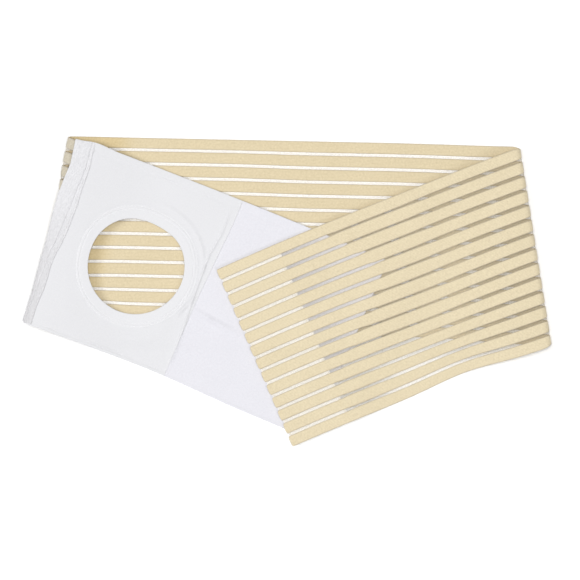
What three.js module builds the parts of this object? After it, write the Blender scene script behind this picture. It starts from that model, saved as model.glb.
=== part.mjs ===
import * as THREE from 'three';

// Elastic band: millimetres, woven as thick ribs with thin see-through stripes between them.
const bandWidth = 180;
const ribCount = 14;
const ribThickness = 1.6;
const ribShoulder = 0.5;
const stripeWidth = 2.75;
const stripeThickness = 0.5;
const backLength = 454.5;
const frontLength = 281;

// Folds of the closed belt: radii to the middle of the band, tilts and headings in degrees.
const rightRadius = 4.2;
const rightTilt = 10.5;
const leftRadius = 4.2;
const leftTilt = 10.9;
const leftLiftReach = 60;
const frontTurn = 4.5;
const bandLap = 27;

// White front panel, sewn over the end of the band.
const panelWidth = 178;
const panelThickness = 1.8;
const stomaPanelLength = 155.4;
const loopPanelLength = 149;
const panelHeading = 19;
const panelTurn = 3;
const panelWrap = 6.6;
const panelRaise = 4.6;
const stomaRadius = 45;
const stomaFromEnd = 90.8;
const stomaDrop = 3.6;
const ringWidth = 13;
const ringThickness = 1;

// Narrow goods and the fit of one layer on the next.
const tapeWidth = 18.8;
const tapeThickness = 1;
const tapeInset = 0.8;
const hookLength = 60;
const hookThickness = 1;
const hookInset = 1.5;
const gap = 0.3;
const layGap = 0.6;
const panelSettle = 170;
const frontSettle = 170;
const edgeDrop = 45;
const edgeMargin = 16;

// Soft creases of the stoma panel: places are shares of its length and of half its width.
const creases = [
  { fromLength: 0.96, fromSide: 0.6, toLength: 0.97, toSide: -0.9, height: 0.9, reach: 7 },
  { fromLength: 0.62, fromSide: 0.68, toLength: 0.84, toSide: 0.42, height: 0.5, reach: 6 },
];

const radians = THREE.MathUtils.degToRad;
const halfBand = bandWidth / 2;
const halfPanel = panelWidth / 2;
const halfRib = ribThickness / 2;
const panelLength = stomaPanelLength + loopPanelLength;

function smooth(value, from, to) {
  return THREE.MathUtils.smoothstep(value, from, to);
}

// First line of each fold, where the band leaves the flat back run.
const cosRight = Math.cos(radians(rightTilt));
const sinRight = Math.sin(radians(rightTilt));
const cosLeft = Math.cos(radians(leftTilt));
const sinLeft = Math.sin(radians(leftTilt));
const rightEdge = backLength / 2 - (rightRadius + halfRib) / cosRight;
const leftEdge = -backLength / 2 + (leftRadius + halfRib) / cosLeft;
const rightArc = Math.PI * rightRadius;
const leftArc = Math.PI * leftRadius;

// How far a point of the back run's plane lies inside the left fold's first line.
function insideLeft(x, y) {
  return (x - leftEdge) * cosLeft - y * sinLeft;
}

// 1 over the back run, falling to 0 where a layer has come down past its lower edge.
function overBack(y) {
  return smooth(y, -halfBand - edgeMargin - edgeDrop, -halfBand - edgeMargin);
}

// Panel: its centreline is a wide arc in plan, turning down to the right.
const panelBend = radians(panelTurn) / panelLength;
const panelStart = new THREE.Vector2(leftEdge - panelWrap / cosLeft, panelRaise);
const firstHeading = radians(panelHeading);

function panelPlan(along, across) {
  const heading = firstHeading + panelBend * along;
  const x = panelStart.x + (Math.sin(heading) - Math.sin(firstHeading)) / panelBend;
  const y = panelStart.y + (Math.cos(heading) - Math.cos(firstHeading)) / panelBend;
  return new THREE.Vector2(x + across * Math.sin(heading), y + across * Math.cos(heading));
}

const panelRoll = leftRadius + halfRib + gap + panelThickness / 2;
const tapeRoll = panelRoll + panelThickness / 2 + gap + tapeThickness / 2;

// The tape's lower corner is tucked under the left fold, and lifts it off the floor.
const tapeCorner = panelPlan(0, -halfPanel);
const tuckAngle = Math.min(-insideLeft(tapeCorner.x, tapeCorner.y) / tapeRoll, Math.PI);
const tuckDepth = -(tapeRoll + tapeThickness / 2) * Math.cos(tuckAngle);
const leftLift = Math.max(0, tuckDepth - leftRadius - halfRib);
const leftCentre = halfRib + leftLift + leftRadius;

// Height of the panel's middle: high at the left fold, lying on the back run, then on the floor.
function panelHeight(x, y) {
  const low = panelThickness / 2 + (ribThickness + gap) * overBack(y);
  const high = leftCentre + panelRoll;
  return high + (low - high) * smooth(insideLeft(x, y), 0, panelSettle);
}

function creaseHeight(along, across) {
  let height = 0;
  for (const crease of creases) {
    const startAlong = crease.fromLength * stomaPanelLength;
    const startAcross = crease.fromSide * halfPanel;
    const runAlong = crease.toLength * stomaPanelLength - startAlong;
    const runAcross = crease.toSide * halfPanel - startAcross;
    const dot = (along - startAlong) * runAlong + (across - startAcross) * runAcross;
    const share = THREE.MathUtils.clamp(dot / (runAlong ** 2 + runAcross ** 2), 0, 1);
    const offAlong = along - startAlong - share * runAlong;
    const offAcross = across - startAcross - share * runAcross;
    const off = Math.hypot(offAlong, offAcross) / crease.reach;
    height += crease.height * Math.exp(-off * off);
  }
  return height;
}

function panelMiddle(along, across) {
  const flat = panelPlan(along, across);
  const inside = insideLeft(flat.x, flat.y);
  if (inside >= 0) {
    const height = panelHeight(flat.x, flat.y) + creaseHeight(along, across);
    return new THREE.Vector3(flat.x, flat.y, height);
  }
  const angle = -inside / tapeRoll;
  const back = -inside - panelRoll * Math.sin(angle);
  return new THREE.Vector3(
    flat.x + back * cosLeft,
    flat.y - back * sinLeft,
    leftCentre + panelRoll * Math.cos(angle),
  );
}

// Front run of the band: laid back from the right fold, with a slight turn in plan.
const foldHeading = radians(2 * rightTilt);
const foldRun = new THREE.Vector2(-Math.cos(foldHeading), -Math.sin(foldHeading));
const foldSide = new THREE.Vector2(-Math.sin(foldHeading), Math.cos(foldHeading));
const bendFrom = halfBand * Math.tan(radians(rightTilt));
const frontBend = radians(frontTurn) / frontLength;
const bandEnd = rightEdge + (rightArc + frontLength * cosRight - rightRadius - halfRib) / cosRight;

function bendInPlan(point) {
  const local = new THREE.Vector2(point.x - rightEdge, point.y);
  const past = local.dot(foldRun) - bendFrom;
  if (past <= 0) {
    return point;
  }
  const side = local.dot(foldSide);
  const turn = frontBend * past;
  const run = bendFrom + Math.sin(turn) / frontBend + side * Math.sin(turn);
  const across = side * Math.cos(turn) - (1 - Math.cos(turn)) / frontBend;
  return new THREE.Vector2(
    rightEdge + run * foldRun.x + across * foldSide.x,
    run * foldRun.y + across * foldSide.y,
  );
}

// Top of what lies under the front run: the panel up to its end, then the back run or the floor.
const panelEnd = panelPlan(panelLength, 0);
const endHeading = firstHeading + radians(panelTurn);

function underFront(x, y) {
  const past = (x - panelEnd.x) * Math.cos(endHeading) - (y - panelEnd.y) * Math.sin(endHeading);
  const onPanel = 1 - smooth(past, edgeMargin, edgeMargin + edgeDrop);
  const back = ribThickness * overBack(y);
  return back + (panelHeight(x, y) + panelThickness / 2 - back) * onPanel;
}

function bandPastRight(s, v, past) {
  const angle = Math.min(past / rightRadius, Math.PI);
  const beyond = Math.max(past - rightArc, 0);
  const shift = rightRadius * Math.sin(angle) - beyond - past;
  const plan = bendInPlan(new THREE.Vector2(s + shift * cosRight, v + shift * sinRight));
  const rolled = halfRib + rightRadius * (1 - Math.cos(angle));
  const onHook = 1 - smooth(s, bandEnd - hookLength - edgeDrop, bandEnd - hookLength - 1);
  const hook = (hookThickness + gap) * (1 - onHook);
  const laid = underFront(plan.x, plan.y) + layGap + hook + halfRib;
  return new THREE.Vector3(plan.x, plan.y, rolled + (laid - rolled) * smooth(beyond, 0, frontSettle));
}

function bandPastLeft(s, v, past) {
  const angle = Math.min(past / leftRadius, Math.PI);
  const beyond = Math.max(past - leftArc, 0);
  const shift = leftRadius * Math.sin(angle) - beyond - past;
  const x = s - shift * cosLeft;
  const y = v + shift * sinLeft;
  const rolled = leftCentre - leftRadius * Math.cos(angle);
  const underPanel = panelHeight(x, y) - panelRoll + leftRadius;
  return new THREE.Vector3(x, y, beyond > 0 ? underPanel : rolled);
}

// Middle of the band at s along it and v across it; the back run is where s and v are x and y.
function bandMiddle(s, v) {
  const right = (s - rightEdge) * cosRight + v * sinRight;
  if (right > 0) {
    return bandPastRight(s, v, right);
  }
  const inside = insideLeft(s, v);
  if (inside < 0) {
    return bandPastLeft(s, v, -inside);
  }
  const lift = leftLift * (1 - smooth(inside, 0, leftLiftReach));
  return new THREE.Vector3(s, v, halfRib + lift);
}

// A point at a height over a middle surface, along the surface's own normal.
function offset(middle, a, b, height) {
  const step = 0.01;
  const alongA = middle(a + step, b).sub(middle(a - step, b));
  const alongB = middle(a, b + step).sub(middle(a, b - step));
  return middle(a, b).addScaledVector(alongA.cross(alongB).normalize(), height);
}

// A closed slab from a flat net: each point has two coordinates and a half thickness.
function slab(middle, height, net) {
  const count = net.points.length;
  const positions = [];
  for (const side of [1, -1]) {
    for (const [a, b, half] of net.points) {
      positions.push(...offset(middle, a, b, height + side * half).toArray());
    }
  }
  const indices = [];
  const open = new Map();
  for (const face of net.faces) {
    indices.push(face[0], face[1], face[2], count + face[0], count + face[2], count + face[1]);
    for (let corner = 0; corner < 3; corner += 1) {
      const from = face[corner];
      const to = face[(corner + 1) % 3];
      if (!open.delete(`${to},${from}`)) {
        open.set(`${from},${to}`, [from, to]);
      }
    }
  }
  for (const [from, to] of open.values()) {
    indices.push(from, count + from, count + to, from, count + to, to);
  }
  const geometry = new THREE.BufferGeometry();
  geometry.setAttribute('position', new THREE.Float32BufferAttribute(positions, 3));
  geometry.setIndex(indices);
  geometry.computeVertexNormals();
  return geometry;
}

function gridFaces(rows, columns, faces, first = 0) {
  for (let row = 0; row < rows - 1; row += 1) {
    for (let column = 0; column < columns - 1; column += 1) {
      const near = first + row * columns + column;
      const far = near + columns;
      faces.push([near, far, near + 1], [near + 1, far, far + 1]);
    }
  }
}

// A net of rows along and columns across, of one thickness.
function sheetNet(rows, columns, half) {
  const points = rows.flatMap((a) => columns.map((b) => [a, b, half]));
  const faces = [];
  gridFaces(rows.length, columns.length, faces);
  return { points, faces };
}

function steps(from, to, count) {
  return Array.from({ length: count + 1 }, (_, index) => from + ((to - from) * index) / count);
}

// Stations of the band: s at its middle and how much s changes for each millimetre across.
function stationsOfBand() {
  const tilted = Math.tan(radians(leftTilt));
  const lapTilt = Math.tan(radians(2 * leftTilt - panelHeading));
  const lapEnd = leftEdge - (leftArc + bandLap / 2) / cosLeft;
  const lastLeft = leftEdge - leftArc / cosLeft;
  const stations = [{ s: lapEnd, slope: lapTilt }];
  stations.push({ s: (lapEnd + lastLeft) / 2, slope: (lapTilt + tilted) / 2 });
  for (const share of steps(1, 0, 8)) {
    stations.push({ s: leftEdge - (share * leftArc) / cosLeft, slope: tilted });
  }
  const last = -Math.tan(radians(rightTilt));
  const clear = leftLiftReach / cosLeft;
  for (const share of [0.25, 0.5, 0.75, 1]) {
    stations.push({ s: leftEdge + share * clear, slope: tilted });
  }
  const middle = (leftEdge + clear + rightEdge) / 2;
  stations.push({ s: middle, slope: (tilted + last) / 2 });
  for (const share of steps(0, 1, 8)) {
    stations.push({ s: rightEdge + (share * rightArc) / cosRight, slope: last });
  }
  const laid = rightEdge + rightArc / cosRight;
  const hookShare = 1 - hookLength / (bandEnd - laid);
  for (const share of [0.09, 0.2, 0.33, 0.46, 0.59, 0.7, hookShare, (1 + hookShare) / 2, 1]) {
    stations.push({ s: laid + share * (bandEnd - laid), slope: last * (1 - share) });
  }
  return stations;
}

function bandColumns() {
  const ribWidth = (bandWidth - (ribCount - 1) * stripeWidth) / ribCount;
  const columns = [];
  for (let rib = 0; rib < ribCount; rib += 1) {
    const near = -halfBand + rib * (ribWidth + stripeWidth);
    const far = near + ribWidth;
    columns.push([near, stripeThickness / 2], [near + ribShoulder, halfRib]);
    columns.push([far - ribShoulder, halfRib], [far, stripeThickness / 2]);
  }
  return columns;
}

function elasticWebbing() {
  const stations = stationsOfBand();
  const columns = bandColumns();
  const points = stations.flatMap(({ s, slope }) => columns.map(([v, half]) => [s + slope * v, v, half]));
  const faces = [];
  gridFaces(stations.length, columns.length, faces);
  return slab(bandMiddle, 0, { points, faces });
}

const panelColumns = steps(-halfPanel, halfPanel, 16);
const tapeRows = steps(0, tapeWidth, 8);
const ringRadii = [stomaRadius, stomaRadius + ringWidth / 2, stomaRadius + ringWidth];
const stomaLeft = tapeWidth + (stomaFromEnd - stomaRadius - ringWidth - tapeWidth) / 3;

// Points of a rectangle's rim, anticlockwise from its lower left corner.
function rim(rows, columns) {
  const [left, right] = [rows[0], rows[rows.length - 1]];
  const [low, high] = [columns[0], columns[columns.length - 1]];
  return [
    ...rows.slice(0, -1).map((a) => [a, low]),
    ...columns.slice(0, -1).map((b) => [right, b]),
    ...rows.slice(1).reverse().map((a) => [a, high]),
    ...columns.slice(1).reverse().map((b) => [left, b]),
  ];
}

const stomaRim = rim(steps(stomaLeft, stomaPanelLength, 10), panelColumns);
const stomaAngles = stomaRim.map(([a, b]) => Math.atan2(b + stomaDrop, a - stomaFromEnd));

function circle(radius) {
  return stomaAngles.map((angle) => [
    stomaFromEnd + radius * Math.cos(angle),
    -stomaDrop + radius * Math.sin(angle),
  ]);
}

// Rings of points, each joined to the next, from the inside out.
function ringFaces(rings, count, faces, first = 0) {
  for (let ring = 0; ring < rings - 1; ring += 1) {
    for (let spoke = 0; spoke < count; spoke += 1) {
      const next = (spoke + 1) % count;
      const inner = first + ring * count;
      const outer = inner + count;
      faces.push([inner + spoke, outer + spoke, inner + next], [inner + next, outer + spoke, outer + next]);
    }
  }
}

function between(inner, outer, share) {
  return inner.map(([a, b], index) => [
    a + (outer[index][0] - a) * share,
    b + (outer[index][1] - b) * share,
  ]);
}

function stomaPanel() {
  const half = panelThickness / 2;
  const edge = circle(ringRadii[2]);
  const rings = [...ringRadii.map(circle), between(edge, stomaRim, 0.34), between(edge, stomaRim, 0.67), stomaRim];
  const points = rings.flat().map(([a, b]) => [a, b, half]);
  const faces = [];
  ringFaces(rings.length, stomaRim.length, faces);
  const rimStart = points.length - stomaRim.length;
  const columns = panelColumns.length;
  const firstGrid = points.length;
  for (const a of tapeRows) {
    points.push(...panelColumns.map((b) => [a, b, half]));
  }
  gridFaces(tapeRows.length, columns, faces, firstGrid);
  const lastRow = firstGrid + (tapeRows.length - 1) * columns;
  for (let column = 0; column < columns - 1; column += 1) {
    const near = rimStart + ((stomaRim.length - column) % stomaRim.length);
    const far = rimStart + stomaRim.length - column - 1;
    const row = lastRow + column;
    faces.push([row, near, row + 1], [row + 1, near, far]);
  }
  return slab(panelMiddle, 0, { points, faces });
}

function stomaRing() {
  const half = ringThickness / 2;
  const points = ringRadii.flatMap((radius) => circle(radius).map(([a, b]) => [a, b, half]));
  const faces = [];
  ringFaces(ringRadii.length, stomaAngles.length, faces);
  return slab(panelMiddle, panelThickness / 2 + gap + half, { points, faces });
}

function loopPanel() {
  const rows = steps(stomaPanelLength + gap, panelLength, 10);
  return slab(panelMiddle, 0, sheetNet(rows, panelColumns, panelThickness / 2));
}

function joiningTape() {
  const columns = panelColumns.slice();
  columns[0] += tapeInset;
  columns[columns.length - 1] -= tapeInset;
  const height = (panelThickness + tapeThickness) / 2 + gap;
  return slab(panelMiddle, height, sheetNet(tapeRows, columns, tapeThickness / 2));
}

function hookTape() {
  const rows = steps(bandEnd - hookLength, bandEnd - hookInset, 2);
  const columns = steps(-halfBand + hookInset, halfBand - hookInset, 14);
  const height = halfRib + gap + hookThickness / 2;
  return slab(bandMiddle, height, sheetNet(rows, columns, hookThickness / 2));
}

const belt = new THREE.Group();

function addPiece(name, geometry, color, roughness) {
  const material = new THREE.MeshStandardMaterial({ color, roughness, metalness: 0 });
  const mesh = new THREE.Mesh(geometry, material);
  mesh.name = name;
  belt.add(mesh);
}

addPiece('elastic_webbing', elasticWebbing(), 0xe7d7b3, 0.85);
addPiece('stoma_panel', stomaPanel(), 0xececee, 0.9);
addPiece('stoma_ring', stomaRing(), 0xefefef, 0.85);
addPiece('loop_panel', loopPanel(), 0xedecf2, 0.95);
addPiece('joining_tape', joiningTape(), 0xe6e6ea, 0.85);
addPiece('hook_tape', hookTape(), 0xf4f3ef, 0.8);

// The origin is under the middle of the belt, on the surface that it lies on.
const box = new THREE.Box3().setFromObject(belt);
belt.position.set(-(box.min.x + box.max.x) / 2, -(box.min.y + box.max.y) / 2, -box.min.z);

export default belt;
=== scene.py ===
import math
import bpy
import mathutils
import numpy as np
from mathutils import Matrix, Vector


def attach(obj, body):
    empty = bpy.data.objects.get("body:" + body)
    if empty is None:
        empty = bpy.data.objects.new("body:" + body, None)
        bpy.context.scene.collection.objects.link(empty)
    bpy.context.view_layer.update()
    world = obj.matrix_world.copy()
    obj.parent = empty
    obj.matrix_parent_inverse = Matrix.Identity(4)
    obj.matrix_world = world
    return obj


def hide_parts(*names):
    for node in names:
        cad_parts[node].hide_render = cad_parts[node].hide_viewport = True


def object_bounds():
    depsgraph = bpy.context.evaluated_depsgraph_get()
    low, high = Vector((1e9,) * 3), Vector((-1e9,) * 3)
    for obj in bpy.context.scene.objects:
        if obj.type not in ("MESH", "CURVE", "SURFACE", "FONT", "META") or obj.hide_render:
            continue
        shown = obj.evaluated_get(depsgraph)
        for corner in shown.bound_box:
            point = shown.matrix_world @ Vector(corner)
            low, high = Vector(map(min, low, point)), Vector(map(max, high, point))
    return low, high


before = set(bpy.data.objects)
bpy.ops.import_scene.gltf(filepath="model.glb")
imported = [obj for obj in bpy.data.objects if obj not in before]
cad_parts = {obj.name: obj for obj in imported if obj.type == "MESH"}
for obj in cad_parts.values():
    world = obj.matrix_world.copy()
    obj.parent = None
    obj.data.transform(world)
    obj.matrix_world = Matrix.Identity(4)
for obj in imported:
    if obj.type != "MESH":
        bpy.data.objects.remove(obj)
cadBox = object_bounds()
print("frame loaded", sorted(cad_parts))

mm = 0.001

# The belt's own sizes, in millimetres and degrees, as its solids have them. The last five are the scene's
# own: here the cloth lies closer, and comes down from the folds and over edges sooner.
belt = {
    "bandWidth": 180.0,
    "ribCount": 14,
    "ribThickness": 1.6,
    "ribShoulder": 0.5,
    "stripeWidth": 2.75,
    "backLength": 454.5,
    "frontLength": 281.0,
    "rightRadius": 4.2,
    "rightTilt": 10.5,
    "leftRadius": 4.2,
    "leftTilt": 10.9,
    "leftLiftReach": 60.0,
    "frontTurn": 4.5,
    "bandLap": 27.0,
    "panelWidth": 178.0,
    "panelThickness": 1.8,
    "stomaPanelLength": 155.4,
    "loopPanelLength": 149.0,
    "panelHeading": 19.0,
    "panelTurn": 3.0,
    "panelWrap": 6.6,
    "panelRaise": 4.6,
    "stomaRadius": 45.0,
    "stomaFromEnd": 90.8,
    "stomaDrop": 3.6,
    "ringWidth": 13.0,
    "tapeWidth": 18.8,
    "tapeThickness": 1.0,
    "hookLength": 60.0,
    "hookThickness": 1.0,
    "gap": 0.3,
    "endDrop": 45.0,
    "endMargin": 16.0,
    "layGap": 0.12,
    "panelSettle": 96.0,
    "frontSettle": 98.0,
    "edgeDrop": 15.0,
    "edgeMargin": 5.0,
}

halfBand = belt["bandWidth"] / 2
halfPanel = belt["panelWidth"] / 2
halfRib = belt["ribThickness"] / 2
panelLength = belt["stomaPanelLength"] + belt["loopPanelLength"]
ribWidth = (belt["bandWidth"] - (belt["ribCount"] - 1) * belt["stripeWidth"]) / belt["ribCount"]
ribPitch = ribWidth + belt["stripeWidth"]

tiltRight, tiltLeft = math.radians(belt["rightTilt"]), math.radians(belt["leftTilt"])
cosRight, sinRight, tanRight = math.cos(tiltRight), math.sin(tiltRight), math.tan(tiltRight)
cosLeft, sinLeft, tanLeft = math.cos(tiltLeft), math.sin(tiltLeft), math.tan(tiltLeft)
rightEdge = belt["backLength"] / 2 - (belt["rightRadius"] + halfRib) / cosRight
leftEdge = -belt["backLength"] / 2 + (belt["leftRadius"] + halfRib) / cosLeft
rightArc = math.pi * belt["rightRadius"]
leftArc = math.pi * belt["leftRadius"]


def smoothStep(value, low, high):
    share = np.clip((value - low) / (high - low), 0, 1)
    return share * share * (3 - 2 * share)


def plateau(value, rise, fall):  # 1 between the rise and the fall, 0 before and after them
    return smoothStep(value, *rise) * (1 - smoothStep(value, *fall))


def softHump(off, reach):  # 1 where off is 0, falling away to both sides
    return np.exp(-(off / reach) ** 2)


def readBetween(rows, place):  # a value read between the rows of a list of places and values
    return np.interp(place, [row[0] for row in rows], [row[1] for row in rows])


def insideLeft(x, y):  # how far a place is in from the left fold
    return (x - leftEdge) * cosLeft - y * sinLeft


def alongLeft(x, y):  # how far it is up along that fold
    return (x - leftEdge) * sinLeft + y * cosLeft


def overBack(y):  # 1 over the back run, 0 past its lower edge
    low = -halfBand - belt["edgeMargin"] - belt["edgeDrop"]
    return smoothStep(y, low, -halfBand - belt["edgeMargin"])


panelBend = math.radians(belt["panelTurn"]) / panelLength
firstHeading = math.radians(belt["panelHeading"])
panelStart = (leftEdge - belt["panelWrap"] / cosLeft, belt["panelRaise"])


def panelPlan(along, across):
    heading = firstHeading + panelBend * along
    x = panelStart[0] + (np.sin(heading) - math.sin(firstHeading)) / panelBend
    y = panelStart[1] + (np.cos(heading) - math.cos(firstHeading)) / panelBend
    return x + across * np.sin(heading), y + across * np.cos(heading)


panelRoll = belt["leftRadius"] + halfRib + belt["gap"] + belt["panelThickness"] / 2
tapeRoll = panelRoll + belt["panelThickness"] / 2 + belt["gap"] + belt["tapeThickness"] / 2
tuckAngle = min(-float(insideLeft(*panelPlan(0.0, -halfPanel))) / tapeRoll, math.pi)
tuckDepth = -(tapeRoll + belt["tapeThickness"] / 2) * math.cos(tuckAngle)
leftLift = max(0.0, tuckDepth - belt["leftRadius"] - halfRib)
leftCentre = halfRib + leftLift + belt["leftRadius"]


def panelHeight(x, y):
    low = belt["panelThickness"] / 2 + (belt["ribThickness"] + belt["gap"]) * overBack(y)
    high = leftCentre + panelRoll
    return high + (low - high) * smoothStep(insideLeft(x, y), 0, belt["panelSettle"])


def panelMiddle(along, across):
    x, y = panelPlan(along, across)
    inside = insideLeft(x, y)
    angle = np.clip(-inside, 0, None) / tapeRoll
    back = np.clip(-inside, 0, None) - panelRoll * np.sin(angle)
    rolled = leftCentre + panelRoll * np.cos(angle)
    z = np.where(inside >= 0, panelHeight(x, y), rolled)
    return np.stack([x + back * cosLeft, y - back * sinLeft, z], axis=1)


foldHeading = 2 * tiltRight
foldRun = (-math.cos(foldHeading), -math.sin(foldHeading))
foldSide = (-math.sin(foldHeading), math.cos(foldHeading))
bendFrom = halfBand * tanRight
frontBend = math.radians(belt["frontTurn"]) / belt["frontLength"]
straightFront = belt["frontLength"] * cosRight - belt["rightRadius"] - halfRib
bandEnd = rightEdge + (rightArc + straightFront) / cosRight
panelEnd = [float(value) for value in panelPlan(panelLength, 0.0)]
endHeading = firstHeading + math.radians(belt["panelTurn"])


def bendInPlan(x, y):
    run = (x - rightEdge) * foldRun[0] + y * foldRun[1]
    side = (x - rightEdge) * foldSide[0] + y * foldSide[1]
    turn = frontBend * np.clip(run - bendFrom, 0, None)
    bentRun = np.where(turn > 0, bendFrom + np.sin(turn) / frontBend + side * np.sin(turn), run)
    bentSide = np.where(turn > 0, side * np.cos(turn) - (1 - np.cos(turn)) / frontBend, side)
    return (rightEdge + bentRun * foldRun[0] + bentSide * foldSide[0],
            bentRun * foldRun[1] + bentSide * foldSide[1])


def underFront(x, y):
    past = (x - panelEnd[0]) * math.cos(endHeading) - (y - panelEnd[1]) * math.sin(endHeading)
    onPanel = 1 - smoothStep(past, belt["endMargin"], belt["endMargin"] + belt["endDrop"])
    back = belt["ribThickness"] * overBack(y)
    return back + (panelHeight(x, y) + belt["panelThickness"] / 2 - back) * onPanel


def bandMiddle(s, v):  # the back run, the front run past the right fold, and the lap past the left fold
    right = (s - rightEdge) * cosRight + v * sinRight
    inside = insideLeft(s, v)
    back = np.stack([s, v, halfRib + leftLift * (1 - smoothStep(inside, 0, belt["leftLiftReach"]))], axis=1)

    past = np.clip(right, 0, None)
    angle = np.minimum(past / belt["rightRadius"], math.pi)
    beyond = np.clip(past - rightArc, 0, None)
    shift = belt["rightRadius"] * np.sin(angle) - beyond - past
    x, y = bendInPlan(s + shift * cosRight, v + shift * sinRight)
    rolled = halfRib + belt["rightRadius"] * (1 - np.cos(angle))
    hookStart = bandEnd - belt["hookLength"]
    hook = (belt["hookThickness"] + belt["gap"]) * smoothStep(s, hookStart - belt["endDrop"], hookStart - 1)
    laid = underFront(x, y) + belt["layGap"] + hook + halfRib
    z = rolled + (laid - rolled) * smoothStep(beyond, 0, belt["frontSettle"])
    front = np.stack([x, y, z], axis=1)

    past = np.clip(-inside, 0, None)
    angle = np.minimum(past / belt["leftRadius"], math.pi)
    beyond = np.clip(past - leftArc, 0, None)
    shift = belt["leftRadius"] * np.sin(angle) - beyond - past
    x, y = s - shift * cosLeft, v + shift * sinLeft
    rolled = leftCentre - belt["leftRadius"] * np.cos(angle)
    z = np.where(beyond > 0, panelHeight(x, y) - panelRoll + belt["leftRadius"], rolled)
    lap = np.stack([x, y, z], axis=1)

    return np.where((right > 0)[:, None], front, np.where((inside < 0)[:, None], lap, back))


def offsetFrom(middle, a, b, height):  # places at a height over the middle of the laid cloth
    step = 0.01
    alongA = middle(a + step, b) - middle(a - step, b)
    alongB = middle(a, b + step) - middle(a, b - step)
    normal = np.cross(alongA, alongB)
    normal /= np.linalg.norm(normal, axis=1)[:, None]
    return middle(a, b) + normal * height[:, None]


# How the real band strays from an even lay. The front run sags a little down the picture, with a belly in its
# middle and a wave at its lower edge. The back run lies a little higher behind the hole. At the left fold the
# band shifts inward below its top, and its lowest ribs draw together.
stray = {
    "sag": 2.8,
    "foldTop": -1.9,
    "foldGrowth": 4.2,
    "foldReach": 120.0,
    "belly": {"down": 2.3, "at": 100.0, "reach": 68.0, "share": 0.55, "shareReach": 0.28},
    "wave": {"down": -4.2, "at": 80.0, "reach": 42.0, "share": 1.02, "shareReach": 0.16},
    "stretch": 2.2,
    "stretchAlong": (120.0, 250.0),
    "drawn": 10.5,
    "drawnFrom": 30.0,
    "drawnReach": 95.0,
    "inward": 3.8,
    "inwardDown": (-75.0, -5.0),
    "rise": 0.85,
    "riseAlong": ((-215.0, -160.0), (-60.0, 20.0)),
    "riseShare": 0.1,
}


def bandLaid(s, v):
    points = bandMiddle(s, v)
    past = (s - rightEdge) * cosRight + v * sinRight
    beyond = np.clip(past - rightArc, 0, None)
    onFront = smoothStep(past, -stray["foldReach"], 0)
    share = (halfBand - v) / belt["bandWidth"]
    near = 1 - smoothStep(beyond, 0, stray["foldReach"])
    down = stray["sag"] + near * (stray["foldTop"] + stray["foldGrowth"] * share)
    for swell in (stray["belly"], stray["wave"]):
        across = softHump(share - swell["share"], swell["shareReach"])
        down = down + swell["down"] * softHump(beyond - swell["at"], swell["reach"]) * across
    points[:, 1] -= down * onFront
    behindHole = plateau(s, *stray["riseAlong"]) * smoothStep(share, 0, stray["riseShare"])
    points[:, 1] += stray["rise"] * behindHole * (1 - onFront)
    points[:, 0] -= stray["stretch"] * share * smoothStep(beyond, *stray["stretchAlong"])
    foldPlace = alongLeft(points[:, 0], points[:, 1])
    nearLeft = 1 - smoothStep(insideLeft(points[:, 0], points[:, 1]), 0, stray["drawnReach"])
    foldPull = stray["drawn"] * smoothStep(-foldPlace, stray["drawnFrom"], halfBand) * nearLeft
    inward = stray["inward"] * smoothStep(-foldPlace, *stray["inwardDown"]) * nearLeft
    points[:, 0] += foldPull * sinLeft + inward
    points[:, 1] += foldPull * cosLeft
    return points


# How the panels stray. Their left outline wanders as they roll over the fold (place along the fold, sideways
# shift), the lower side hangs slack, the corner by the tape is humped, and the upper rim of the hole dips.
panelStray = {
    "outline": [(-95, -2.4), (-84, -2.2), (-55, 0.8), (-10, 2.6), (35, 0.0), (50, 0.6), (66, 1.4), (80, -0.8),
                (90, -2.4)],
    "outlineReach": 55.0,
    "slack": 3.4,
    "slackAlong": (130.0, 240.0),
    "slackFrom": -20.0,
    "topFrom": 55.0,
    "corner": -1.2,
    "cornerReach": 9.0,
    "hump": 1.8,
    "humpAt": 21.0,
    "humpReach": 11.0,
    "holeTop": (97.0, 42.0),
    "holeDip": 3.2,
    "holeReach": 24.0,
}


def panelLaid(along, across):
    points = panelMiddle(along, across)
    shift = readBetween(panelStray["outline"], alongLeft(points[:, 0], points[:, 1]))
    nearLeft = 1 - smoothStep(insideLeft(points[:, 0], points[:, 1]), 0, panelStray["outlineReach"])
    points[:, 0] += shift * nearLeft
    low = smoothStep(-across, panelStray["slackFrom"], halfPanel)
    points[:, 1] -= panelStray["slack"] * low * smoothStep(along, *panelStray["slackAlong"])
    top = smoothStep(across, panelStray["topFrom"], halfPanel)
    points[:, 1] += panelStray["corner"] * softHump(along, panelStray["cornerReach"]) * top
    points[:, 1] += panelStray["hump"] * softHump(along - panelStray["humpAt"], panelStray["humpReach"]) * top
    away = np.hypot(along - panelStray["holeTop"][0], across - panelStray["holeTop"][1])
    points[:, 1] -= panelStray["holeDip"] * softHump(away, panelStray["holeReach"])
    return points


def foldCrests(v):  # the band's outermost places on the right and on the left fold
    return rightEdge - v * tanRight + rightArc / 2 / cosRight, leftEdge + v * tanLeft - leftArc / 2 / cosLeft


# The frame's origin is under the middle of the belt, so the shift is read from the solid band's own box.
lowest = -halfBand + belt["ribShoulder"]
reach = bandMiddle(np.array([foldCrests(lowest)[0]]), np.array([lowest]))[0][0] + halfRib * cosRight
shiftX = cadBox[1][0] / mm - reach
shiftY = cadBox[1][1] / mm - halfBand
print("shift of the frame, mm", round(shiftX, 3), round(shiftY, 3))


def selectOnly(piece):
    bpy.ops.object.select_all(action="DESELECT")
    piece.select_set(True)
    bpy.context.view_layer.objects.active = piece


def readPoints(piece):
    values = np.empty(len(piece.data.vertices) * 3)
    piece.data.vertices.foreach_get("co", values)
    return values.reshape(-1, 3) / mm


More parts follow.
